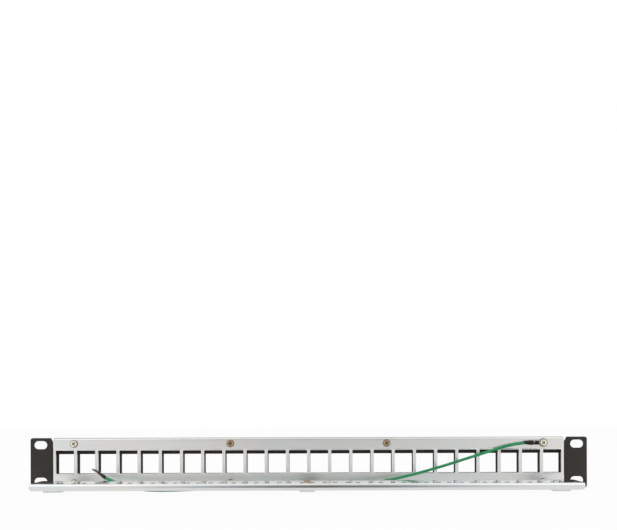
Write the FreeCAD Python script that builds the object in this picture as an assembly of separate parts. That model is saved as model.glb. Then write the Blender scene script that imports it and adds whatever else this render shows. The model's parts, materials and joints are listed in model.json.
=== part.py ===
import FreeCAD, Part

import math
import os

from FreeCAD import Vector

# Rack patch panel of 1U with empty ports, an inner port frame and a rear cable bar.
# Sizes are in millimetres. X runs along the panel, +Y points to the front, +Z is up.
# The origin is the centre of the four rack slots, on the rear face of the ears.

# Front panel
panel_width = 482.6
panel_height = 44.0
panel_sheet = 1.5
panel_bend_inside = 0.6
ear_corner_radius = 2.0
top_flange_depth = 6.5
bottom_flange_depth = 20.0
flange_length = 439.0
flange_end_radius = 1.6
relief_width = 4.2
relief_depth = 3.1
relief_slant = 1.3

# Rack slots in the ears, on the 19 inch pattern
rack_spacing_x = 465.1
rack_spacing_z = 31.75
rack_slot_length = 11.4
rack_slot_width = 7.0

# Ports
port_count = 24
port_pitch = 18.19
front_port_width = 15.3
front_port_height = 16.6
front_port_centre_z = -0.3
frame_port_width = 15.6
frame_port_height = 19.8
frame_port_centre_z = 1.45
frame_port_corner_cut = 0.45

# Port frame behind the panel
frame_sheet = 1.2
frame_width = 439.4
frame_behind_panel = 7.1
frame_bend_inside = 0.6
frame_corner_radius = 2.2
frame_below_panel_top = 0.2
panel_clearance = 0.3
screw_window_width = 8.4
screw_window_beyond_head = 0.6

# Frame screws and standoffs
screw_inner_x = 67.1
screw_outer_x = 201.3
screw_upper_z = 17.25
screw_lower_z = -16.6
screw_radius = 1.5
screw_head_radius = 3.3
screw_head_height = 2.0
screw_crown = 1.2
screw_depth_in_standoff = 5.0
shank_sides = 12
hole_clearance = 0.2
thread_clearance = 0.05
standoff_flats = 5.0
standoff_blind_wall = 1.0

# Cable bar
bar_sheet = 1.2
bar_length = 439.0
bar_depth = 35.9
bar_front_gap = 28.7
bar_top_z = -12.4
bar_lip_height = 5.5
bar_bend_inside = 2.2
bar_front_corner = 3.0
bar_lip_corner = 2.6
tie_slot_width = 3.6
tie_slot_length = 8.0
tie_slot_spacing = 9.9
tie_slot_from_rear = 5.0
tie_slot_corner_cut = 1.05

# Arms under the bar
arm_sheet = 1.2
end_arm_x = 202.0
end_arm_width = 13.0
centre_arm_width = 12.0
arm_bend_inside = 0.6
arm_pad_length = 29.0
arm_from_screw_heads = 0.4
arm_rivet_from_pad_end = 7.0
arm_corner_cut = 1.5
foot_screw_behind_web = 5.4
flat_head_radius = 2.75
flat_head_height = 1.2

# Rivets, and the nut of the centre arm
rivet_radius = 1.6
rivet_head_radius = 2.6
rivet_head_height = 0.7
nut_flats = 5.5
nut_height = 1.8

# Ground wire and its ring terminals
wire_diameter = 2.4
ring_radius = 4.0
ring_sheet = 0.8
ring_hole_radius = 2.15
tongue_width = 3.6
barrel_length = 6.2
barrel_radius = 1.65
barrel_flats = 3.2
ring_beyond_barrel = 3.4
tongue_overlap = 0.6
sleeve_wall = 0.3
sleeve_length = 12.8
sleeve_clearance = 0.05
sleeve_from_web = 0.1

# Places that follow from the sizes above
panel_top = panel_height / 2
panel_front = panel_sheet
web_front = -frame_behind_panel
web_rear = web_front - frame_sheet
frame_top = panel_top - frame_below_panel_top
top_flange_rear = panel_sheet - top_flange_depth
flange_seat = -panel_top + panel_sheet
arm_seat = flange_seat + frame_sheet
bottom_flange_rear = panel_sheet - bottom_flange_depth
bar_front = web_rear - bar_front_gap
bar_rear = bar_front - bar_depth
bar_under = bar_top_z - bar_sheet
lip_inside = bar_rear + bar_sheet
pad_end = lip_inside + arm_pad_length
bar_fastener_y = pad_end - arm_rivet_from_pad_end
foot_screw_y = web_rear - foot_screw_behind_web
sleeve_radius = barrel_radius + sleeve_clearance + sleeve_wall
terminal_axis_y = web_rear - sleeve_from_web - sleeve_radius
port_xs = [(i - (port_count - 1) / 2) * port_pitch for i in range(port_count)]
upper_xs = [-screw_outer_x, -screw_inner_x, screw_inner_x]
lower_xs = [-screw_outer_x, -screw_inner_x, screw_inner_x, screw_outer_x]

TO_REAR = Vector(0, -1, 0)
TO_FRONT = Vector(0, 1, 0)
UP = Vector(0, 0, 1)
DOWN = Vector(0, 0, -1)
ALONG_X = Vector(1, 0, 0)


def box(low, high):
    """A block between two corners."""
    size = Vector(*high) - Vector(*low)
    return Part.makeBox(size.x, size.y, size.z, Vector(*low))


def edges_along(shape, axis, places):
    """Straight edges of shape along one axis, given as a letter, that pass through any of the places."""
    index = "xyz".index(axis)
    found = []
    for edge in shape.Edges:
        start, end = edge.Vertexes[0].Point, edge.Vertexes[-1].Point
        step = end - start
        if step.Length < 1e-6 or abs(abs(step[index]) - step.Length) > 1e-6:
            continue
        across = [i for i in range(3) if i != index]
        if any(all(abs(start[a] - place[k]) < 1e-4 for k, a in enumerate(across)) for place in places):
            found.append(edge)
    return found


def rounded(shape, axis, radius, places):
    """The shape with its edges along axis at the places rounded."""
    return shape.makeFillet(radius, edges_along(shape, axis, places))


def block_corners(low, high, axis):
    """Places of a block's four edges along axis."""
    a, b = [i for i in range(3) if i != "xyz".index(axis)]
    return [(low[a], low[b]), (low[a], high[b]), (high[a], low[b]), (high[a], high[b])]


def rounded_block(low, high, axis, radius):
    """A block whose four edges along axis are rounded."""
    return rounded(box(low, high), axis, radius, block_corners(low, high, axis))


def cornered_block(low, high, axis, leg):
    """A block whose four edges along axis are cut off at 45 degrees."""
    block = box(low, high)
    return block.makeChamfer(leg, edges_along(block, axis, block_corners(low, high, axis)))


def extruded(places, start_x, end_x):
    """A prism along X from its (y, z) corners."""
    corners = [Vector(start_x, y, z) for y, z in places]
    return Part.Face(Part.makePolygon(corners + corners[:1])).extrude(ALONG_X * (end_x - start_x))


def turned(places):
    """A solid turned about Z from its (radius, z) corners."""
    corners = [Vector(r, 0, z) for r, z in places]
    return Part.Face(Part.makePolygon(corners + corners[:1])).revolve(Vector(0, 0, 0), UP, 360)


def obround(length, width, along, through, centre, depth):
    """A slot cutter: length along one direction, its depth centred on the sheet along another."""
    across = through.cross(along)
    half = (length - width) / 2
    corners = [
        centre + along * half + across * (width / 2),
        centre - along * half + across * (width / 2),
        centre - along * half - across * (width / 2),
        centre + along * half - across * (width / 2),
    ]
    left = Part.Arc(corners[1], centre - along * (length / 2), corners[2]).toShape()
    right = Part.Arc(corners[3], centre + along * (length / 2), corners[0]).toShape()
    sides = [Part.makeLine(corners[0], corners[1]), Part.makeLine(corners[2], corners[3])]
    wire = Part.Wire([sides[0], left, sides[1], right])
    slot = Part.Face(wire).extrude(through * depth)
    return slot.translated(through * (-depth / 2))


def port_corners(width, height, centre_z, y_low, y_high):
    """Two opposite corners of each port's opening."""
    return [
        ((x - width / 2, y_low, centre_z - height / 2), (x + width / 2, y_high, centre_z + height / 2))
        for x in port_xs
    ]


def cylinder(radius, start, direction, depth):
    """A round solid, or the cutter for a round hole."""
    return Part.makeCylinder(radius, depth, start, direction)


def prism(sides, flats, start, direction, height):
    """A regular prism from its width across flats."""
    radius = flats / 2 / math.cos(math.pi / sides)
    turn = FreeCAD.Rotation(UP, direction)
    corners = []
    for i in range(sides):
        angle = 2 * math.pi * i / sides
        corners.append(start + turn.multVec(Vector(radius * math.cos(angle), radius * math.sin(angle), 0)))
    return Part.Face(Part.makePolygon(corners + corners[:1])).extrude(direction * height)


def shank(radius, start, direction, depth):
    """A fastener's shank or the hole for it, a twelve-sided prism to keep the hidden faces few."""
    return prism(shank_sides, 2 * radius, start, direction, depth)


def front_panel():
    """Flat panel with ears, and a flange turned back at its top and bottom."""
    half_flange = flange_length / 2
    plate = rounded_block(
        (-panel_width / 2, 0, -panel_top), (panel_width / 2, panel_front, panel_top), "y", ear_corner_radius
    )
    outside_bend = panel_bend_inside + panel_sheet
    channel = box((-half_flange, bottom_flange_rear, -panel_top), (half_flange, panel_front, panel_top))
    channel = channel.cut(
        box(
            (-half_flange, bottom_flange_rear, flange_seat),
            (half_flange, 0, panel_top - panel_sheet),
        )
    )
    channel = channel.cut(
        box((-half_flange, bottom_flange_rear, 0), (half_flange, top_flange_rear, panel_top))
    )
    channel = rounded(channel, "x", outside_bend, [(panel_front, panel_top), (panel_front, -panel_top)])
    channel = rounded(channel, "x", panel_bend_inside, [(0, panel_top - panel_sheet), (0, flange_seat)])
    channel = rounded(
        channel, "z", flange_end_radius, [(-half_flange, top_flange_rear), (half_flange, top_flange_rear)]
    )
    channel = rounded(
        channel,
        "z",
        flange_end_radius,
        [(-half_flange, bottom_flange_rear), (half_flange, bottom_flange_rear)],
    )
    plate = plate.cut(box((-half_flange, 0, panel_top - relief_depth), (half_flange, panel_front, panel_top)))
    plate = plate.cut(box((-half_flange, 0, -panel_top), (half_flange, panel_front, relief_depth - panel_top)))
    for side in (-1, 1):
        for end in (-1, 1):
            outline = [
                Vector(side * half_flange, 0, end * panel_top),
                Vector(side * half_flange, 0, end * (panel_top - relief_depth)),
                Vector(side * (half_flange + relief_width - relief_slant), 0, end * (panel_top - relief_depth)),
                Vector(side * (half_flange + relief_width), 0, end * panel_top),
            ]
            notch = Part.Face(Part.makePolygon(outline + outline[:1])).extrude(TO_FRONT * panel_sheet)
            plate = plate.cut(notch)
    panel = plate.fuse(channel).removeSplitter()
    openings = port_corners(front_port_width, front_port_height, front_port_centre_z, 0, panel_front)
    cutters = [box(low, high) for low, high in openings]
    for side in (-1, 1):
        for end in (-1, 1):
            centre = Vector(side * rack_spacing_x / 2, panel_sheet / 2, end * rack_spacing_z / 2)
            cutters.append(
                obround(rack_slot_length, rack_slot_width, ALONG_X, TO_FRONT, centre, panel_sheet)
            )
    for x in foot_screw_xs():
        cutters.append(shank(screw_radius, Vector(x, foot_screw_y, -panel_top), UP, panel_sheet))
    return panel.cut(Part.makeCompound(cutters))


def foot_screw_xs():
    """One screw in the foot of each arm."""
    return [-end_arm_x, 0, end_arm_x]


def port_frame():
    """Sheet behind the panel: sides and top edge turned forward, lower edge turned back as a foot."""
    half = frame_width / 2
    outside_bend = frame_bend_inside + frame_sheet
    side_front = -panel_clearance
    side_top = panel_top - panel_sheet - panel_clearance
    tray = box((-half, web_rear, flange_seat + panel_clearance), (half, side_front, frame_top))
    tray = tray.cut(
        box((-half + frame_sheet, web_front, flange_seat), (half - frame_sheet, side_front, frame_top))
    )
    tray = rounded(tray, "z", outside_bend, [(-half, web_rear), (half, web_rear)])
    inner_edges = [(frame_sheet - half, web_front), (half - frame_sheet, web_front)]
    tray = rounded(tray, "z", frame_bend_inside, inner_edges)
    # The middle part between the side bends, with its forward lip and its rearward foot.
    flange_half = half - outside_bend
    lip_front = top_flange_rear - panel_clearance
    middle = extruded(
        [
            (bottom_flange_rear, flange_seat),
            (web_front, flange_seat),
            (web_front, frame_top - frame_sheet),
            (lip_front, frame_top - frame_sheet),
            (lip_front, frame_top),
            (web_rear, frame_top),
            (web_rear, arm_seat),
            (bottom_flange_rear, arm_seat),
        ],
        -flange_half,
        flange_half,
    )
    inner_bends = [(web_rear, arm_seat), (web_front, frame_top - frame_sheet)]
    middle = rounded(middle, "x", frame_bend_inside, inner_bends)
    middle = rounded(middle, "x", outside_bend, [(web_front, flange_seat), (web_rear, frame_top)])
    middle = rounded(
        middle, "z", flange_end_radius, [(-flange_half, bottom_flange_rear), (flange_half, bottom_flange_rear)]
    )
    frame = tray.cut(box((-flange_half, web_rear, flange_seat), (flange_half, web_front, frame_top)))
    for side in (-1, 1):
        outer = side * half
        inner = side * flange_half
        # The sides stop under the panel's top flange, and the web's upper corners are round.
        frame = frame.cut(
            box((min(outer, inner), web_front, side_top), (max(outer, inner), side_front, frame_top))
        )
        corner_x = side * (half - frame_corner_radius)
        corner_z = frame_top - frame_corner_radius
        corner = box((min(outer, corner_x), web_rear, corner_z), (max(outer, corner_x), side_front, frame_top))
        keep = cylinder(
            frame_corner_radius, Vector(corner_x, web_rear, corner_z), TO_FRONT, side_front - web_rear
        )
        frame = frame.cut(corner.cut(keep))
    frame = frame.fuse(middle).removeSplitter()
    openings = port_corners(frame_port_width, frame_port_height, frame_port_centre_z, web_rear, web_front)
    cutters = [cornered_block(low, high, "y", frame_port_corner_cut) for low, high in openings]
    for z, xs in ((screw_upper_z, upper_xs + [screw_outer_x]), (screw_lower_z, lower_xs)):
        for x in xs:
            cutters.append(shank(screw_radius + hole_clearance, Vector(x, web_front, z), TO_REAR, frame_sheet))
    for x in foot_screw_xs():
        seat = Vector(x, foot_screw_y, flange_seat)
        cutters.append(shank(screw_radius + hole_clearance, seat, UP, frame_sheet))
    frame = frame.cut(Part.makeCompound(cutters))
    # Windows in the lower bend give the heads of the lower screws room.
    window_rear = web_rear - screw_head_height - screw_window_beyond_head
    window_top = arm_seat + frame_bend_inside
    half_window = screw_window_width / 2
    windows = [
        box((x - half_window, window_rear, flange_seat), (x + half_window, web_rear, window_top))
        for x in lower_xs
    ]
    return frame.cut(Part.makeCompound(windows))


def tie_slot_places():
    """Centres of the cable tie slots, a pair behind each port."""
    y = bar_rear + tie_slot_from_rear + tie_slot_length / 2
    return [
        Vector(x + offset * tie_slot_spacing / 2, y, bar_top_z - bar_sheet / 2)
        for x in port_xs
        for offset in (-1, 1)
    ]


def cable_bar():
    """Flat strip with cable tie slots and a lip turned down along its rear edge."""
    half = bar_length / 2
    lip_bottom = bar_top_z - bar_lip_height
    bar = box((-half, bar_rear, lip_bottom), (half, bar_front, bar_top_z))
    bar = bar.cut(box((-half, lip_inside, lip_bottom), (half, bar_front, bar_under)))
    bar = rounded(bar, "x", bar_bend_inside + bar_sheet, [(bar_rear, bar_top_z)])
    bar = rounded(bar, "x", bar_bend_inside, [(lip_inside, bar_under)])
    bar = rounded(bar, "z", bar_front_corner, [(-half, bar_front), (half, bar_front)])
    bar = rounded(bar, "y", bar_lip_corner, [(-half, lip_bottom), (half, lip_bottom)])
    reach = Vector(tie_slot_width / 2, tie_slot_length / 2, bar_sheet / 2)
    cutters = [
        cornered_block(place - reach, place + reach, "z", tie_slot_corner_cut) for place in tie_slot_places()
    ]
    for x in (-end_arm_x, end_arm_x):
        cutters.append(shank(rivet_radius, Vector(x, bar_fastener_y, bar_under), UP, bar_sheet))
    centre = Vector(0, bar_fastener_y, bar_under)
    cutters.append(shank(screw_radius + hole_clearance, centre, UP, bar_sheet))
    return bar.cut(Part.makeCompound(cutters))


def bar_arm(x, width, fastener_radius):
    """Bent strip: a foot on the frame's flange, a plate back to the lip, up, and a pad under the bar."""
    left, right = x - width / 2, x + width / 2
    foot_front = web_rear - screw_head_height - arm_from_screw_heads
    outside_bend = arm_bend_inside + arm_sheet
    arm = box((left, lip_inside, arm_seat), (right, foot_front, bar_under))
    inside = box(
        (left, lip_inside + arm_sheet, arm_seat + arm_sheet), (right, foot_front, bar_under - arm_sheet)
    )
    arm = arm.cut(inside)
    arm = arm.cut(box((left, pad_end, arm_seat + arm_sheet), (right, foot_front, bar_under)))
    # The upper bend follows the inside of the bar's own bend.
    arm = rounded(arm, "x", max(outside_bend, bar_bend_inside), [(lip_inside, bar_under)])
    arm = rounded(arm, "x", outside_bend, [(lip_inside, arm_seat)])
    inner_y = lip_inside + arm_sheet
    arm = rounded(arm, "x", arm_bend_inside, [(inner_y, arm_seat + arm_sheet), (inner_y, bar_under - arm_sheet)])
    ends = [(left, foot_front), (right, foot_front), (left, pad_end), (right, pad_end)]
    arm = arm.makeChamfer(arm_corner_cut, edges_along(arm, "z", ends))
    foot_hole = shank(screw_radius + hole_clearance, Vector(x, foot_screw_y, arm_seat), UP, arm_sheet)
    bar_hole = shank(fastener_radius, Vector(x, bar_fastener_y, bar_under - arm_sheet), UP, arm_sheet)
    return arm.cut(foot_hole).cut(bar_hole)


def pan_screw(seat, outward, shank_length):
    """Pan head screw. seat is under the head, and the shank runs inward."""
    head = turned(
        [
            (0, 0),
            (screw_head_radius, 0),
            (screw_head_radius, screw_head_height - screw_crown),
            (screw_head_radius - screw_crown, screw_head_height),
            (0, screw_head_height),
        ]
    )
    screw = head.fuse(shank(screw_radius - thread_clearance, Vector(0, 0, 0), DOWN, shank_length))
    screw.Placement = FreeCAD.Placement(seat, FreeCAD.Rotation(UP, outward))
    return screw


def flat_screw(seat, shank_length):
    """Smaller screw with a plain flat head, upright."""
    head = cylinder(flat_head_radius, seat, UP, flat_head_height)
    return head.fuse(shank(screw_radius - thread_clearance, seat, DOWN, shank_length))


def frame_screws(xs, z):
    """Screws through the web into the standoffs."""
    length = frame_sheet + screw_depth_in_standoff
    return Part.makeCompound([pan_screw(Vector(x, web_rear, z), TO_REAR, length) for x in xs])


def ground_screw():
    """The upper screw at one end, which also clamps the ring terminal."""
    seat = Vector(screw_outer_x, web_rear - ring_sheet, screw_upper_z)
    return pan_screw(seat, TO_REAR, ring_sheet + frame_sheet + screw_depth_in_standoff)


def standoffs(xs, z):
    """Hexagonal standoffs pressed on the panel, open towards the frame."""
    length = -web_front
    made = []
    for x in xs:
        body = prism(6, standoff_flats, Vector(x, 0, z), TO_REAR, length)
        bore = shank(screw_radius, Vector(x, web_front, z), TO_FRONT, length - standoff_blind_wall)
        made.append(body.cut(bore))
    return Part.makeCompound(made)


def end_arm_rivets():
    """Low rivets through the bar and the pads of the end arms."""
    stack = bar_sheet + arm_sheet
    made = []
    for x in (-end_arm_x, end_arm_x):
        top = Vector(x, bar_fastener_y, bar_top_z)
        head = cylinder(rivet_head_radius, top, UP, rivet_head_height)
        tail = cylinder(rivet_head_radius, top - UP * stack, DOWN, rivet_head_height)
        made.append(shank(rivet_radius, top, DOWN, stack).fuse([head, tail]))
    return Part.makeCompound(made)


def centre_arm_screw():
    """Screw through the bar and the pad of the centre arm."""
    seat = Vector(0, bar_fastener_y, bar_top_z)
    return flat_screw(seat, bar_sheet + arm_sheet + nut_height)


def centre_arm_nut():
    """Nut under the pad of the centre arm."""
    seat = Vector(0, bar_fastener_y, bar_under - arm_sheet)
    return prism(6, nut_flats, seat, DOWN, nut_height).cut(shank(screw_radius, seat, DOWN, nut_height))


def foot_screws(xs):
    """Screws from above through the feet of the arms into the panel's bottom flange."""
    length = arm_sheet + frame_sheet + panel_sheet
    seat_z = arm_seat + arm_sheet
    return Part.makeCompound(
        [flat_screw(Vector(x, foot_screw_y, seat_z), length) for x in xs]
    )


def ring_terminal():
    """Crimp terminal along +X from its barrel's mouth, its ring level with the sleeve's side."""
    barrel = shank(barrel_flats / 2, Vector(0, 0, 0), ALONG_X, barrel_length)
    plate_y = sleeve_radius + sleeve_from_web - ring_sheet
    ring_x = barrel_length + ring_beyond_barrel
    plate_root = barrel_length - tongue_overlap
    ring = cylinder(ring_radius, Vector(ring_x, plate_y, 0), TO_FRONT, ring_sheet)
    tongue = box((plate_root, plate_y, -tongue_width / 2), (ring_x, plate_y + ring_sheet, tongue_width / 2))
    hole = cylinder(ring_hole_radius, Vector(ring_x, plate_y, 0), TO_FRONT, ring_sheet)
    return barrel.fuse([ring, tongue]).removeSplitter().cut(hole)


def terminal_sleeve():
    """Heat shrink sleeve about +X, over a terminal's barrel and the start of the wire."""
    end_x = barrel_length - tongue_overlap - sleeve_clearance
    start_x = end_x - sleeve_length
    step_x = -sleeve_clearance
    bore_wire = wire_diameter / 2 + sleeve_clearance
    bore_barrel = barrel_radius + sleeve_clearance
    sleeve = turned(
        [
            (bore_wire, start_x),
            (sleeve_radius, start_x),
            (sleeve_radius, end_x),
            (bore_barrel, end_x),
            (bore_barrel, step_x),
            (bore_wire, step_x),
        ]
    )
    sleeve.Placement = FreeCAD.Placement(Vector(), FreeCAD.Rotation(UP, ALONG_X))
    return sleeve


# The wire's free route, chosen by hand: down to the right, over the centre arm, under the bar
# in a wide bow, and up again at the left. Its first and last points follow the two terminals.
free_end_direction = Vector(-13.95, 15.1, 6.7)
free_sleeve_start = Vector(-169.3, -28.0, -10.9)
last_run = 12.5

# Share of the shorter run beside a corner that its arc takes.
arc_share = 0.45

fixed_mouth = Vector(screw_outer_x - barrel_length - ring_beyond_barrel, terminal_axis_y, screw_upper_z)
free_axis = Vector(free_end_direction).normalize()
sleeve_on_wire = sleeve_length + tongue_overlap + sleeve_clearance - barrel_length
free_mouth = free_sleeve_start + free_axis * sleeve_on_wire

wire_route = [
    fixed_mouth,
    fixed_mouth - ALONG_X * last_run,
    Vector(152.5, -12.6, 9.5),
    Vector(98.0, -18.4, -7.3),
    Vector(50.0, -25.5, -17.2),
    Vector(4.0, -28.6, -16.2),
    Vector(-45.0, -43.5, -17.0),
    Vector(-98.0, -57.0, -17.4),
    Vector(-142.0, -37.5, -15.9),
    free_mouth - free_axis * last_run,
    free_mouth,
]


def wire_piece(start, end):
    """Straight stretch of the wire."""
    return Part.makeCylinder(wire_diameter / 2, (end - start).Length, start, end - start)


def ground_wire():
    """Green wire: straight runs joined by arcs as large as the runs allow."""
    pieces = []
    radii = []
    length = 0.0
    start = wire_route[0]
    for before, corner, after in zip(wire_route, wire_route[1:], wire_route[2:]):
        back, ahead = before - corner, after - corner
        reach = arc_share * min(back.Length, ahead.Length)
        turn = math.pi - back.getAngle(ahead)
        radius = reach / math.tan(turn / 2)
        back.normalize()
        ahead.normalize()
        arc_start = corner + back * reach
        arc_end = corner + ahead * reach
        centre = corner + (back + ahead).normalize() * (radius / math.cos(turn / 2))
        section = Part.Face(Part.Wire(Part.Circle(arc_start, back, wire_diameter / 2).toShape()))
        pieces.append(wire_piece(start, arc_start))
        pieces.append(section.revolve(centre, ahead.cross(back), math.degrees(turn)))
        radii.append(radius)
        length += (arc_start - start).Length + radius * turn
        start = arc_end
    pieces.append(wire_piece(start, wire_route[-1]))
    length += (wire_route[-1] - start).Length
    tube = pieces[0].multiFuse(pieces[1:]).removeSplitter()
    expected = math.pi * wire_diameter ** 2 / 4 * length
    print("wire length", round(length, 1), "volume ratio", round(tube.Volume / expected, 4))
    print("wire bend radii", [round(radius, 1) for radius in radii])
    return tube


def at_fixed_end(shape):
    """Moves a piece made at a terminal's mouth to the end under the ground screw."""
    shape.translate(fixed_mouth)
    return shape


def at_free_end(shape):
    """Moves a piece made at a terminal's mouth to the loose end, its ring edge on to the rear."""
    turn = FreeCAD.Rotation(free_axis, free_axis.cross(TO_FRONT), Vector(), "XYZ")
    shape.Placement = FreeCAD.Placement(free_mouth, turn) * shape.Placement
    return shape


def main():
    """Builds every piece and writes one file for each."""
    screw_fit = screw_radius + hole_clearance
    nodes = {
        "front_panel": front_panel(),
        "port_frame": port_frame(),
        "cable_bar": cable_bar(),
        "left_bar_arm": bar_arm(-end_arm_x, end_arm_width, rivet_radius),
        "centre_bar_arm": bar_arm(0, centre_arm_width, screw_fit),
        "right_bar_arm": bar_arm(end_arm_x, end_arm_width, rivet_radius),
        "upper_frame_screws": frame_screws(upper_xs, screw_upper_z),
        "lower_frame_screws": frame_screws(lower_xs, screw_lower_z),
        "ground_screw": ground_screw(),
        "upper_standoffs": standoffs(upper_xs + [screw_outer_x], screw_upper_z),
        "lower_standoffs": standoffs(lower_xs, screw_lower_z),
        "end_arm_rivets": end_arm_rivets(),
        "centre_arm_screw": centre_arm_screw(),
        "centre_arm_nut": centre_arm_nut(),
        "end_arm_foot_screws": foot_screws([-end_arm_x, end_arm_x]),
        "centre_arm_foot_screw": foot_screws([0]),
        "fixed_ring_terminal": at_fixed_end(ring_terminal()),
        "fixed_terminal_sleeve": at_fixed_end(terminal_sleeve()),
        "ground_wire": ground_wire(),
        "free_terminal_sleeve": at_free_end(terminal_sleeve()),
        "free_ring_terminal": at_free_end(ring_terminal()),
    }
    os.makedirs("parts", exist_ok=True)
    for name, shape in nodes.items():
        state = "valid" if shape.isValid() else "not valid"
        print(name, len(shape.Solids), "solids,", state, round(shape.Volume, 1))
        shape.exportStep("parts/" + name + ".step")


main()
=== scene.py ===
import json
import math

import bmesh
import bpy
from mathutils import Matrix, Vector
from mathutils.geometry import tessellate_polygon

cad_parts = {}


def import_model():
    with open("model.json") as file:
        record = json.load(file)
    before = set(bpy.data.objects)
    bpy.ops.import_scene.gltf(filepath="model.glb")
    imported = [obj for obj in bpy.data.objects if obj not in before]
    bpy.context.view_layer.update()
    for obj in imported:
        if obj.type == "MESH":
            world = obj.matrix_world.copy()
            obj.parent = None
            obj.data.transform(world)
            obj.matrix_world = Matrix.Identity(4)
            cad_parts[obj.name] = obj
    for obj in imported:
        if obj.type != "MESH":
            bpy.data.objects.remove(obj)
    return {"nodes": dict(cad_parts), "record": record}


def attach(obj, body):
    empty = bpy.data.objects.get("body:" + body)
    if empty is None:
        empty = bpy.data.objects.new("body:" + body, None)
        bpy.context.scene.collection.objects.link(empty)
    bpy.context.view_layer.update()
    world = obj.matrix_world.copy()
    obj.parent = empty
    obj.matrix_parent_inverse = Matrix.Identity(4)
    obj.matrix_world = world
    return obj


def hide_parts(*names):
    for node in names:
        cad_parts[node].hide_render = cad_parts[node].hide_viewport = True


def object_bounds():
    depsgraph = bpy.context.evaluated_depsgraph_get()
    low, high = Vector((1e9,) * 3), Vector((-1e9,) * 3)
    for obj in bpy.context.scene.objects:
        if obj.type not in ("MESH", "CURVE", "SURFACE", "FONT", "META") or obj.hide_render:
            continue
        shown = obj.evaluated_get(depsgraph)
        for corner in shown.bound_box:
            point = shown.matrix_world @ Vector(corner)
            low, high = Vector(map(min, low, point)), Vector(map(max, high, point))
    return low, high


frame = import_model()
cad_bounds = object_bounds()

MM = 0.001

# Photograph: its size in pixels, and the point in it that the camera looks straight at.
PHOTO_WIDTH, PHOTO_HEIGHT = 617, 530
LEVEL_X, LEVEL_Y = 327.0, 412.05
FOCAL_PIXELS = 917.0
SENSOR_WIDTH = 36.0
CAMERA_PLACE = Vector((15.95, -795.5, 43.9)) * MM
CAMERA_ROLL = math.radians(0.17)

# Light: the world's level on matt surfaces, the floor's colour and the share of it that glows
# white, and the dimmer patch of the world that metal mirrors at -Y: its reach and its level.
WORLD_LEVEL = 0.68
FLOOR_COLOUR = (0.82, 0.82, 0.82)
FLOOR_GLOW = 0.95
DIM_PATCH_REACH, DIM_PATCH_LEVEL = 0.26, 0.15

# Soft lamps: name, place, width, height, power, and whether metal mirrors them.
SOFTBOXES = [
    ("left softbox", (-1.3, -1.6, 0.7), 1.6, 1.6, 8, False),
    ("right softbox", (1.3, -1.6, 0.7), 1.6, 1.6, 8, False),
    ("overhead softbox", (0, -0.3, 1.6), 2.4, 1.6, 5, True),
]

# Zinc and tin: colour, lowest and highest roughness, strength of the tint, and seed.
ZINC_FINISHES = {
    "zinc_sheet": ((0.79, 0.79, 0.775), 0.27, 0.32, 0.045, 2.0),
    "zinc_bar": ((0.71, 0.72, 0.72), 0.11, 0.17, 0.04, 3.1),
    "zinc_arm": ((0.62, 0.63, 0.63), 0.26, 0.36, 0.04, 5.3),
    "zinc_fastener": ((0.6, 0.6, 0.6), 0.25, 0.35, 0.03, 7.7),
    # The tin is darker than bright plating: partly its dull finish, partly painted shade so that
    # the ring under the ground screw shows as a dark arc round the head.
    "tinned_copper": ((0.47, 0.465, 0.44), 0.2, 0.3, 0.02, 9.2),
    # A near black copy of the tin: painted shade on the loose ring terminal, which is seen edge on.
    "tinned_painted_shade": ((0.16, 0.155, 0.15), 0.35, 0.5, 0.02, 11.0),
}

# Yellow zinc: its pale, middle and pink tints. The second and fourth finishes are much darker
# copies that paint shade and a dark reflection on each screw head's rim, its shank end and its
# cross recess.
YELLOW_FINISHES = {
    "yellow_screw": ((0.95, 0.94, 0.82), (0.90, 0.88, 0.72), (0.86, 0.80, 0.66)),
    "yellow_screw_painted_shade": ((0.30, 0.29, 0.20), (0.24, 0.21, 0.15), (0.22, 0.18, 0.14)),
    "tan_screw": ((0.48, 0.43, 0.28), (0.45, 0.34, 0.21), (0.46, 0.31, 0.23)),
    "tan_screw_painted_shade": ((0.20, 0.19, 0.12), (0.18, 0.14, 0.08), (0.18, 0.12, 0.08)),
}

# Route of the ground wire, in metres, from the ground screw to its loose end. The eighth and
# ninth points are moved from the CAD route, so that the sag shows below the bar's lip.
WIRE_ROUTE = [
    (0.1917, -0.0104, 0.01725),
    (0.1792, -0.0104, 0.01725),
    (0.1525, -0.0126, 0.0095),
    (0.0980, -0.0184, -0.0073),
    (0.0500, -0.0255, -0.0172),
    (0.0040, -0.0286, -0.0162),
    (-0.0450, -0.0435, -0.0170),
    (-0.1290, -0.0560, -0.0200),
    (-0.1460, -0.0375, -0.0168),
    (-0.165913, -0.031666, -0.012527),
    (-0.173978, -0.022937, -0.008653),
]
WIRE_DIAMETER = 0.0024

# Places and sizes in millimetres that the visible pieces share with the CAD model.
WEB_REAR = -8.3
PORT_PITCH = 18.19
PORT_COUNT = 24
FRAME_PORT_WIDTH, FRAME_PORT_HEIGHT, FRAME_PORT_CENTRE = 15.6, 19.8, 1.45
SCREW_INNER_X, SCREW_OUTER_X = 67.1, 201.3
SCREW_UPPER_Z, SCREW_LOWER_Z = 17.25, -16.6
RING_SHEET = 0.8
SLEEVE_LENGTH, SLEEVE_ON_WIRE = 12.8, 7.25

# Pan head screw, in millimetres: its shank, its head's section as radius, height over the seat and
# whether it takes the darker finish of painted shade, and its cross recess as arm, half width and
# height.
SCREW_SIDES = 40
SHANK_RADIUS, SHANK_LENGTH = 1.45, 6.2
SCREW_HEAD = [
    (3.02, 0, True),
    (3.24, 0.1, True),
    (3.3, 0.35, True),
    (3.3, 0.72, True),
    (3.22, 1.05, True),
    (3.0, 1.36, True),
    (2.66, 1.62, False),
    (2.3, 1.8, False),
    (1.95, 1.9, False),
]
RECESS_MOUTH, RECESS_BOTTOM = (1.62, 0.42, 1.94), (0.7, 0.28, 0.75)

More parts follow.
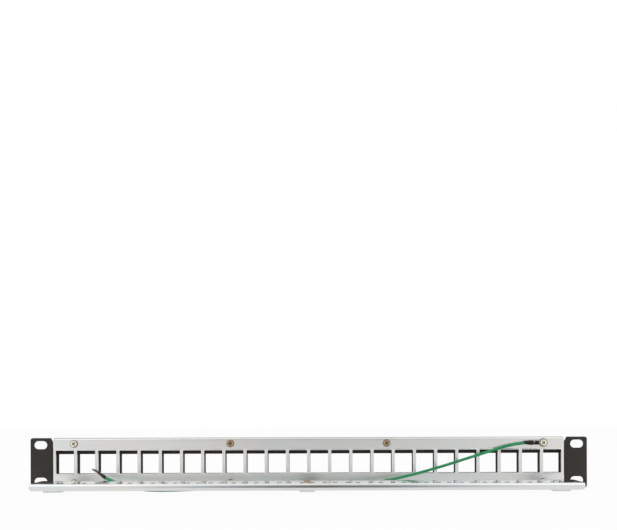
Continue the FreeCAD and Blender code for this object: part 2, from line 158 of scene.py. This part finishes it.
# Rolled edge of a frame opening: distance out from it, height above the sheet's rear face.
RIM_SECTION = [
    (1.0, 0.0),
    (0.85, 0.06),
    (0.62, 0.2),
    (0.42, 0.27),
    (0.22, 0.22),
    (0.05, 0.08),
    (-0.06, -0.12),
    (-0.08, -0.35),
    (0.0, -0.6),
]
RIM_CORNER, RIM_CORNER_STEPS = 0.7, 4

# Sleeves: half sizes in millimetres at shares of their length.
FIXED_SLEEVE_RADII = [
    (0, 1.3),
    (0.14, 1.5),
    (0.3, 1.72),
    (0.44, 1.96),
    (0.56, 1.86),
    (0.67, 1.7),
    (0.85, 1.8),
    (1, 1.76),
]
FIXED_SLEEVE_LIMIT = 1.98
FREE_SLEEVE_WIDE = [(0, 1.36), (0.3, 1.55), (0.6, 1.75), (0.85, 1.95), (1, 1.9)]
FREE_SLEEVE_THIN = [(0, 1.36), (0.25, 1.5), (0.5, 1.3), (0.75, 1.0), (1, 0.72)]

# Ring terminal at the loose end, in millimetres: the ring, how far its centre stands from the
# sleeve, and the tongue that joins them, with what lies in the sleeve and out of it.
RING_SIDES = 36
RING_OUTER, RING_INNER, RING_FROM_SLEEVE = 4.0, 2.15, 4.05
RING_HALF_SHEET, RING_BEVEL = 0.35, 0.12
TONGUE_HALF_WIDTH, TONGUE_HALF_SHEET = 1.7, 0.34
TONGUE_INSIDE, TONGUE_OUTSIDE = 3.0, 0.8


def camera():
    """Camera square on to the panel's rear, shifted to frame it as the photograph does."""
    data = bpy.data.cameras.new("camera")
    data.sensor_width = SENSOR_WIDTH
    data.lens = FOCAL_PIXELS * SENSOR_WIDTH / PHOTO_WIDTH
    data.shift_x = (PHOTO_WIDTH / 2 - LEVEL_X) / PHOTO_WIDTH
    data.shift_y = (LEVEL_Y - PHOTO_HEIGHT / 2) / PHOTO_WIDTH
    data.clip_start = 0.01
    data.clip_end = 50
    seen = bpy.data.objects.new("camera", data)
    seen.location = CAMERA_PLACE
    seen.rotation_euler = (math.radians(90), CAMERA_ROLL, 0)
    bpy.context.scene.collection.objects.link(seen)
    bpy.context.scene.camera = seen


def lamp(name, place, width, height, power, mirrored):
    """Soft rectangular lamp that faces the object. Metal mirrors it or the world behind it."""
    data = bpy.data.lights.new(name, "AREA")
    data.shape = "RECTANGLE"
    data.size, data.size_y = width, height
    data.energy = power
    thing = bpy.data.objects.new(name, data)
    thing.location = place
    thing.rotation_euler = (-Vector(place)).to_track_quat("-Z", "Y").to_euler()
    thing.visible_glossy = mirrored
    bpy.context.scene.collection.objects.link(thing)


def world(level):
    """White to the camera and in reflections, but for a dimmer patch that they show at -Y."""
    shade = bpy.data.worlds.new("world")
    bpy.context.scene.world = shade
    shade.use_nodes = True
    nodes, links = shade.node_tree.nodes, shade.node_tree.links
    nodes.clear()

    def background(strength):
        node = nodes.new("ShaderNodeBackground")
        node.inputs["Color"].default_value = (1, 1, 1, 1)
        node.inputs["Strength"].default_value = strength
        return node

    def mixed(factor, first, second):
        node = nodes.new("ShaderNodeMixShader")
        links.new(factor, node.inputs["Fac"])
        links.new(first, node.inputs[1])
        links.new(second, node.inputs[2])
        return node.outputs[0]

    output = nodes.new("ShaderNodeOutputWorld")
    path = nodes.new("ShaderNodeLightPath")
    shown = nodes.new("ShaderNodeMath")
    shown.operation = "MAXIMUM"
    links.new(path.outputs["Is Camera Ray"], shown.inputs[0])
    links.new(path.outputs["Is Transmission Ray"], shown.inputs[1])
    white = background(1)
    soft = background(level)
    # Level in a reflection, from how far its direction points to either side of the patch.
    direction = nodes.new("ShaderNodeTexCoord")
    split = nodes.new("ShaderNodeSeparateXYZ")
    links.new(direction.outputs["Generated"], split.inputs[0])
    aside = nodes.new("ShaderNodeMath")
    aside.operation = "ABSOLUTE"
    links.new(split.outputs["X"], aside.inputs[0])
    share = nodes.new("ShaderNodeMapRange")
    share.interpolation_type = "SMOOTHSTEP"
    share.inputs["From Min"].default_value = 0.0
    share.inputs["From Max"].default_value = DIM_PATCH_REACH
    share.inputs["To Min"].default_value = DIM_PATCH_LEVEL
    share.inputs["To Max"].default_value = 1.0
    links.new(aside.outputs[0], share.inputs["Value"])
    # Directions towards +Y are white throughout.
    forward = nodes.new("ShaderNodeMath")
    forward.operation = "GREATER_THAN"
    forward.inputs[1].default_value = 0.0
    links.new(split.outputs["Y"], forward.inputs[0])
    glossy_level = nodes.new("ShaderNodeMath")
    glossy_level.operation = "MAXIMUM"
    links.new(share.outputs["Result"], glossy_level.inputs[0])
    links.new(forward.outputs[0], glossy_level.inputs[1])
    mirrored = background(1)
    links.new(glossy_level.outputs[0], mirrored.inputs["Strength"])
    glossy = mixed(path.outputs["Is Glossy Ray"], soft.outputs[0], mirrored.outputs[0])
    links.new(mixed(shown.outputs[0], glossy, white.outputs[0]), output.inputs["Surface"])


def floor():
    """Pale floor just under the panel's lower edge, nearly white to the camera."""
    half, near, far = 3.0, -0.6, 3.0
    gap = 0.0002
    level = cad_bounds[0][2] - gap
    mesh = bpy.data.meshes.new("floor")
    corners = [(-half, near), (half, near), (half, far), (-half, far)]
    mesh.from_pydata([(x, y, level) for x, y in corners], [], [(0, 1, 2, 3)])
    thing = bpy.data.objects.new("floor", mesh)
    bpy.context.scene.collection.objects.link(thing)
    material = bpy.data.materials.new("floor")
    material.use_nodes = True
    nodes, links = material.node_tree.nodes, material.node_tree.links
    nodes.clear()
    output = nodes.new("ShaderNodeOutputMaterial")
    diffuse = nodes.new("ShaderNodeBsdfDiffuse")
    diffuse.inputs["Color"].default_value = (*FLOOR_COLOUR, 1)
    glow = nodes.new("ShaderNodeEmission")
    glow.inputs["Strength"].default_value = 1
    path = nodes.new("ShaderNodeLightPath")
    total = path.outputs["Is Camera Ray"]
    for ray in ("Is Glossy Ray", "Is Transmission Ray"):
        node = nodes.new("ShaderNodeMath")
        node.use_clamp = True
        links.new(total, node.inputs[0])
        links.new(path.outputs[ray], node.inputs[1])
        total = node.outputs[0]
    share = nodes.new("ShaderNodeMath")
    share.operation = "MULTIPLY"
    share.inputs[1].default_value = FLOOR_GLOW
    mix = nodes.new("ShaderNodeMixShader")
    links.new(total, share.inputs[0])
    links.new(share.outputs[0], mix.inputs["Fac"])
    links.new(diffuse.outputs[0], mix.inputs[1])
    links.new(glow.outputs[0], mix.inputs[2])
    links.new(mix.outputs[0], output.inputs["Surface"])
    mesh.materials.append(material)


class Finish:
    """A material, with helpers that drive its shader from the object's own coordinates."""

    def __init__(self, name, colour, metallic, roughness):
        self.material = bpy.data.materials.new(name)
        self.material.use_nodes = True
        self.nodes = self.material.node_tree.nodes
        self.links = self.material.node_tree.links
        self.shader = self.nodes["Principled BSDF"]
        self.shader.inputs["Base Color"].default_value = (*colour, 1)
        self.shader.inputs["Metallic"].default_value = metallic
        self.shader.inputs["Roughness"].default_value = roughness
        self.coordinates = self.nodes.new("ShaderNodeTexCoord").outputs["Object"]

    def noise(self, size, detail=3.0, stretch=(1, 1, 1), seed=0.0):
        """Noise with features about size metres across, longer along each axis by its stretch."""
        mapping = self.nodes.new("ShaderNodeMapping")
        mapping.inputs["Location"].default_value = (seed, seed * 0.7, seed * 0.3)
        mapping.inputs["Scale"].default_value = [1 / (size * along) for along in stretch]
        texture = self.nodes.new("ShaderNodeTexNoise")
        texture.inputs["Scale"].default_value = 1
        texture.inputs["Detail"].default_value = detail
        self.links.new(self.coordinates, mapping.inputs["Vector"])
        self.links.new(mapping.outputs["Vector"], texture.inputs["Vector"])
        return texture.outputs["Fac"]

    def ramp(self, value, stops):
        """Colours along a value, as (place, colour) pairs."""
        node = self.nodes.new("ShaderNodeValToRGB")
        elements = node.color_ramp.elements
        while len(elements) < len(stops):
            elements.new(0.5)
        for element, (place, colour) in zip(elements, stops):
            element.position = place
            element.color = (*colour, 1)
        self.links.new(value, node.inputs["Fac"])
        return node.outputs["Color"]

    def spread(self, value, low, high):
        """The value's middle part spread between two numbers."""
        node = self.nodes.new("ShaderNodeMapRange")
        node.inputs["From Min"].default_value = 0.3
        node.inputs["From Max"].default_value = 0.7
        node.inputs["To Min"].default_value = low
        node.inputs["To Max"].default_value = high
        self.links.new(value, node.inputs["Value"])
        return node.outputs["Result"]

    def mixed(self, value, first, second):
        """Two colours mixed by a value. Each is a colour or a socket."""
        node = self.nodes.new("ShaderNodeMix")
        node.data_type = "RGBA"
        self.links.new(value, node.inputs["Factor"])
        for socket, colour in ((node.inputs[6], first), (node.inputs[7], second)):
            if isinstance(colour, bpy.types.NodeSocket):
                self.links.new(colour, socket)
            else:
                socket.default_value = (*colour, 1)
        return node.outputs[2]

    def colour(self, socket):
        self.links.new(socket, self.shader.inputs["Base Color"])

    def roughness(self, socket):
        self.links.new(socket, self.shader.inputs["Roughness"])

    def bump(self, *layers):
        """Bump layers, each a value and its height in metres."""
        previous = None
        for value, height in layers:
            node = self.nodes.new("ShaderNodeBump")
            node.inputs["Distance"].default_value = height
            self.links.new(value, node.inputs["Height"])
            if previous:
                self.links.new(previous, node.inputs["Normal"])
            previous = node.outputs["Normal"]
        self.links.new(previous, self.shader.inputs["Normal"])


def powder_coat():
    finish = Finish("black_coat", (0.034, 0.030, 0.026), 0.0, 0.55)
    patches = finish.noise(0.03, detail=2)
    stops = [(0.3, (0.030, 0.028, 0.024)), (0.7, (0.040, 0.033, 0.028))]
    finish.colour(finish.ramp(patches, stops))
    finish.roughness(finish.spread(finish.noise(0.006), 0.5, 0.62))
    finish.shader.inputs["Specular IOR Level"].default_value = 0.22
    coarse = finish.noise(0.0009, detail=2)
    fine = finish.noise(0.0003, detail=1)
    finish.bump((coarse, 0.00003), (fine, 0.00001))
    return finish.material


def zinc(name, base, rough_low, rough_high, tint, seed):
    """Zinc plated sheet: faint patches of tint from the passivation, rolling marks along X."""
    finish = Finish(name, base, 1.0, rough_low)
    patches = finish.noise(0.05, detail=2, stretch=(1, 1, 0.6), seed=seed)
    cool = tuple(b * (1 + t) for b, t in zip(base, (-tint, 0, 0.4 * tint)))
    warm = tuple(b * (1 + t) for b, t in zip(base, (0.6 * tint, -0.2 * tint, -tint)))
    tinted = finish.ramp(patches, [(0.32, cool), (0.5, base), (0.68, warm)])
    grain = finish.noise(0.0016, detail=4, stretch=(30, 1, 1), seed=seed)
    darker = tuple(0.88 * b for b in base)
    finish.colour(finish.mixed(finish.spread(grain, 0.0, 0.25), tinted, darker))
    rough = finish.noise(0.009, detail=4, stretch=(2, 1, 1), seed=seed)
    finish.roughness(finish.spread(rough, rough_low, rough_high))
    finish.bump((finish.noise(0.0007, detail=2, stretch=(14, 1, 1), seed=seed), 0.000002))
    return finish.material


def yellow_zinc(name, pale, tan, pink):
    """Yellow passivated zinc, with the film's uneven tint."""
    finish = Finish(name, tan, 1.0, 0.26)
    stops = [(0.3, pale), (0.5, tan), (0.68, pink)]
    finish.colour(finish.ramp(finish.noise(0.004, detail=3), stops))
    finish.roughness(finish.spread(finish.noise(0.002), 0.2, 0.36))
    return finish.material


def sleeve_rubber():
    finish = Finish("black_sleeve", (0.022, 0.019, 0.018), 0.0, 0.42)
    stops = [(0.3, (0.017, 0.015, 0.015)), (0.7, (0.032, 0.027, 0.025))]
    finish.colour(finish.ramp(finish.noise(0.003), stops))
    finish.roughness(finish.spread(finish.noise(0.002), 0.4, 0.6))
    finish.shader.inputs["Specular IOR Level"].default_value = 0.16
    finish.bump((finish.noise(0.0012, detail=3), 0.00008))
    return finish.material


def green_insulation():
    finish = Finish("green_insulation", (0.012, 0.240, 0.083), 0.0, 0.34)
    stops = [(0.3, (0.011, 0.235, 0.08)), (0.7, (0.02, 0.29, 0.105))]
    finish.colour(finish.ramp(finish.noise(0.008, detail=2), stops))
    finish.roughness(finish.spread(finish.noise(0.004), 0.3, 0.45))
    finish.shader.inputs["Specular IOR Level"].default_value = 0.3
    finish.bump((finish.noise(0.0015, detail=2), 0.00002))
    return finish.material


class Shell:
    """Collects a mesh from points in millimetres."""

    def __init__(self):
        self.points = []
        self.faces = []
        self.smooth = []
        self.parts = []

    def add(self, places):
        """Adds points and returns their numbers."""
        first = len(self.points)
        self.points.extend(tuple(place) for place in places)
        return list(range(first, len(self.points)))

    def face(self, corners, smooth=False, part=0):
        self.faces.append(tuple(corners))
        self.smooth.append(smooth)
        self.parts.append(part)

    def band(self, first, second, smooth=True, part=0):
        """Faces between two closed rings of the same size."""
        count = len(first)
        for i in range(count):
            j = (i + 1) % count
            self.face((first[i], first[j], second[j], second[i]), smooth, part)

    def flat(self, outline, holes=(), part=0):
        """A flat face with holes, cut into triangles."""
        rings = [outline, *holes]
        numbers = [number for ring in rings for number in ring]
        loops = [[Vector(self.points[number]) for number in ring] for ring in rings]
        for corners in tessellate_polygon(loops):
            self.face([numbers[corner] for corner in corners], False, part)

    def build(self, name, materials, replaced=()):
        """Makes the object, which rides on the part and may stand for CAD nodes."""
        mesh = bpy.data.meshes.new(name)
        mesh.from_pydata([Vector(point) * MM for point in self.points], [], self.faces)
        for material in materials:
            mesh.materials.append(material)
        mesh.polygons.foreach_set("use_smooth", self.smooth)
        mesh.polygons.foreach_set("material_index", self.parts)
        mesh.validate()
        cleaner = bmesh.new()
        cleaner.from_mesh(mesh)
        bmesh.ops.recalc_face_normals(cleaner, faces=cleaner.faces)
        cleaner.to_mesh(mesh)
        cleaner.free()
        thing = bpy.data.objects.new(name, mesh)
        bpy.context.scene.collection.objects.link(thing)
        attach(thing, "root")
        if replaced:
            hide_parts(*replaced)


def add_screw(shell, x, y, z, turn, shank, tint=0):
    """Screw that faces -Y from its seat. turn is its recess's, and tint picks its two finishes, the
    second of them painted shade for the rim and the recess.
    """
    profile = [(SHANK_RADIUS, -shank, True), (SHANK_RADIUS, 0, True), *SCREW_HEAD]

    def place(radius, angle, height):
        return (x + radius * math.cos(angle), y - height, z + radius * math.sin(angle))

    rings = [
        shell.add(place(radius, 2 * math.pi * i / SCREW_SIDES, height) for i in range(SCREW_SIDES))
        for radius, height, _ in profile
    ]
    # edge is the index of the darker copy of the finish: painted shade on the head's rim, the shank
    # end and the recess.
    face, edge = 2 * tint, 2 * tint + 1
    shell.flat(rings[0], part=edge)
    for first, second, (_, _, in_painted_shade) in zip(rings, rings[1:], profile):
        shell.band(first, second, part=edge if in_painted_shade else face)

    def cross(arm, width, height):
        corners = []
        for quarter in range(4):
            for along, across in ((width, width), (arm, width), (arm, -width)):
                radius = math.hypot(along, across)
                angle = math.atan2(across, along) - quarter * math.pi / 2 + math.radians(turn)
                corners.append(place(radius, angle, height))
        return shell.add(corners)

    mouth = cross(*RECESS_MOUTH)
    bottom = cross(*RECESS_BOTTOM)
    shell.flat(rings[-1], [mouth], part=face)
    # The recess walls and bottom take the darker copy: painted shade in the hollow.
    shell.band(mouth, bottom, smooth=False, part=edge)
    shell.flat(bottom, part=edge)


def screws(finishes):
    """The frame's screws with their cross recesses, and the one that holds the ring terminal."""
    # Each row: its node, its height, and where each screw stands with its recess's turn in degrees.
    rows = [
        (
            "upper_frame_screws",
            SCREW_UPPER_Z,
            [(-SCREW_OUTER_X, 22), (-SCREW_INNER_X, 8), (SCREW_INNER_X, 38)],
        ),
        (
            "lower_frame_screws",
            SCREW_LOWER_Z,
            [(-SCREW_OUTER_X, 50), (-SCREW_INNER_X, 15), (SCREW_INNER_X, 70), (SCREW_OUTER_X, 33)],
        ),
    ]
    materials = [finishes[name] for name in YELLOW_FINISHES]
    for name, z, places in rows:
        shell = Shell()
        for x, turn in places:
            tint = 1 if abs(x) == SCREW_INNER_X else 0
            add_screw(shell, x, WEB_REAR, z, turn, SHANK_LENGTH, tint)
        shell.build(name.replace("frame_", ""), materials, [name])
    shell = Shell()
    seat, shank = WEB_REAR - RING_SHEET, SHANK_LENGTH + RING_SHEET
    add_screw(shell, SCREW_OUTER_X, seat, SCREW_UPPER_Z, 40, shank)
    shell.build("ground_screw_head", materials[:2], ["ground_screw"])


def opening_rims(material):
    """The rolled edges that punching leaves round the frame's openings."""
    inner_x = FRAME_PORT_WIDTH / 2 - RIM_CORNER
    inner_z = FRAME_PORT_HEIGHT / 2 - RIM_CORNER
    shell = Shell()
    for number in range(PORT_COUNT):
        centre_x = (number - (PORT_COUNT - 1) / 2) * PORT_PITCH
        outline = []
        for quarter in range(4):
            x = centre_x + (inner_x if quarter in (0, 3) else -inner_x)
            z = FRAME_PORT_CENTRE + (inner_z if quarter in (0, 1) else -inner_z)
            for step in range(RIM_CORNER_STEPS + 1):
                angle = math.pi / 2 * (quarter + step / RIM_CORNER_STEPS)
                out = Vector((math.cos(angle), 0, math.sin(angle)))
                outline.append((Vector((x, 0, z)) + out * RIM_CORNER, out))
        rings = [
            shell.add(
                edge + out * away + Vector((0, WEB_REAR - height, 0)) for edge, out in outline
            )
            for away, height in RIM_SECTION
        ]
        for first, second in zip(rings, rings[1:]):
            shell.band(first, second)
    shell.build("opening_rims", [material])


def tube(shell, path, sides, half_sizes):
    """A closed tube along path. half_sizes(share, angle) gives its two half widths there."""
    rings = []
    last = len(path) - 1
    for i, centre in enumerate(path):
        ahead = (path[min(i + 1, last)] - path[max(i - 1, 0)]).normalized()
        flat_way = (Vector((0, 1, 0)) - ahead * ahead.y).normalized()
        thin_way = ahead.cross(flat_way)
        ring = []
        for k in range(sides):
            angle = 2 * math.pi * k / sides
            wide, thin = half_sizes(i / last, angle)
            across, up = wide * math.cos(angle), thin * math.sin(angle)
            ring.append(centre + flat_way * across + thin_way * up)
        rings.append(shell.add(ring))
    for first, second in zip(rings, rings[1:]):
        shell.band(first, second)
    shell.flat(rings[0])
    shell.flat(rings[-1])


def eased(stations, share):
    """Value at a share between (share, value) stations, blended smoothly."""
    for (start, low), (end, high) in zip(stations, stations[1:]):
        if share <= end:
            part = (share - start) / (end - start)
            part = part * part * (3 - 2 * part)
            return low + (high - low) * part
    return stations[-1][1]


def fixed_sleeve(material):
    """Heat shrink sleeve at the ground screw, puckered over the crimp."""
    mouth = Vector(WIRE_ROUTE[0]) / MM
    start = mouth - Vector((SLEEVE_ON_WIRE, 0, 0))
    steps, sides = 40, 32

    def half_sizes(share, angle):
        radius = eased(FIXED_SLEEVE_RADII, share)
        pucker = 0.07 * math.sin(9 * share + 2 * angle) + 0.05 * math.sin(31 * share + angle)
        radius = min(FIXED_SLEEVE_LIMIT, radius + pucker * min(1, 4 * share))
        return radius, radius

    shell = Shell()
    path = [start + Vector((SLEEVE_LENGTH * i / steps, 0, 0)) for i in range(steps + 1)]
    tube(shell, path, sides, half_sizes)
    shell.build("fixed_sleeve", [material], ["fixed_terminal_sleeve"])


def free_end(sleeve_material, painted_shade_ring_material):
    """Sleeve and ring terminal at the loose end, the crimp pressed flat in the ring's plane."""
    mouth = Vector(WIRE_ROUTE[-1]) / MM
    axis = (Vector(WIRE_ROUTE[-1]) - Vector(WIRE_ROUTE[-2])).normalized()
    start = mouth - axis * SLEEVE_ON_WIRE
    steps, sides = 30, 28

    def half_sizes(share, angle):
        pucker = 0.05 * math.sin(11 * share + 2 * angle) * min(1, 4 * share)
        return eased(FREE_SLEEVE_WIDE, share) + pucker, eased(FREE_SLEEVE_THIN, share) + pucker

    shell = Shell()
    path = [start + axis * (SLEEVE_LENGTH * i / steps) for i in range(steps + 1)]
    tube(shell, path, sides, half_sizes)
    shell.build("free_sleeve", [sleeve_material], ["free_terminal_sleeve"])

    flat_way = (Vector((0, 1, 0)) - axis * axis.y).normalized()
    thin_way = axis.cross(flat_way)
    ring_centre = start + axis * (SLEEVE_LENGTH + RING_FROM_SLEEVE)
    shell = Shell()

    def circle(radius, height):
        return shell.add(
            ring_centre
            + axis * (radius * math.cos(2 * math.pi * k / RING_SIDES))
            + flat_way * (radius * math.sin(2 * math.pi * k / RING_SIDES))
            + thin_way * height
            for k in range(RING_SIDES)
        )

    around = [
        circle(RING_INNER, -RING_HALF_SHEET),
        circle(RING_OUTER - RING_BEVEL, -RING_HALF_SHEET),
        circle(RING_OUTER, -RING_HALF_SHEET + RING_BEVEL),
        circle(RING_OUTER, RING_HALF_SHEET - RING_BEVEL),
        circle(RING_OUTER - RING_BEVEL, RING_HALF_SHEET),
        circle(RING_INNER, RING_HALF_SHEET),
    ]
    for first, second in zip(around, around[1:] + around[:1]):
        shell.band(first, second)
    tongue = []
    wide, thin = TONGUE_HALF_WIDTH, TONGUE_HALF_SHEET
    for along in (SLEEVE_LENGTH - TONGUE_INSIDE, SLEEVE_LENGTH + TONGUE_OUTSIDE):
        for across, height in ((-wide, -thin), (wide, -thin), (wide, thin), (-wide, thin)):
            tongue.append(start + axis * along + flat_way * across + thin_way * height)
    numbers = shell.add(tongue)
    shell.band(numbers[:4], numbers[4:], smooth=False)
    shell.face(numbers[:4])
    shell.face(numbers[4:])
    shell.build("free_ring", [painted_shade_ring_material], ["free_ring_terminal"])


def ground_wire(material):
    """The insulated wire as one smooth curve."""
    curve = bpy.data.curves.new("ground_wire_curve", "CURVE")
    curve.dimensions = "3D"
    spline = curve.splines.new("NURBS")
    spline.points.add(len(WIRE_ROUTE) - 1)
    for point, place in zip(spline.points, WIRE_ROUTE):
        point.co = (*place, 1)
    spline.order_u = 3
    spline.use_endpoint_u = True
    spline.resolution_u = 16
    curve.bevel_depth = WIRE_DIAMETER / 2
    curve.bevel_resolution = 5
    curve.use_fill_caps = True
    curve.materials.append(material)
    thing = bpy.data.objects.new("ground_wire_cord", curve)
    bpy.context.scene.collection.objects.link(thing)
    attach(thing, "root")
    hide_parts("ground_wire")


def main():
    bpy.context.scene.view_settings.view_transform = "Standard"
    camera()
    world(WORLD_LEVEL)
    floor()
    for softbox in SOFTBOXES:
        lamp(*softbox)
    finishes = {
        "black_coat": powder_coat(),
        "black_sleeve": sleeve_rubber(),
        "green_insulation": green_insulation(),
    }
    for name, values in ZINC_FINISHES.items():
        finishes[name] = zinc(name, *values)
    for name, tints in YELLOW_FINISHES.items():
        finishes[name] = yellow_zinc(name, *tints)
    for entry in frame["record"]["subparts"]:
        node = frame["nodes"][entry["node"]]
        node.data.materials.clear()
        node.data.materials.append(finishes[entry["material_slot"]])
    frame["nodes"]["centre_arm_screw"].data.materials[0] = finishes["tan_screw"]
    screws(finishes)
    opening_rims(finishes["zinc_sheet"])
    fixed_sleeve(finishes["black_sleeve"])
    # The loose ring takes the near black copy of the tin: painted shade.
    free_end(finishes["black_sleeve"], finishes["tinned_painted_shade"])
    ground_wire(finishes["green_insulation"])


main()
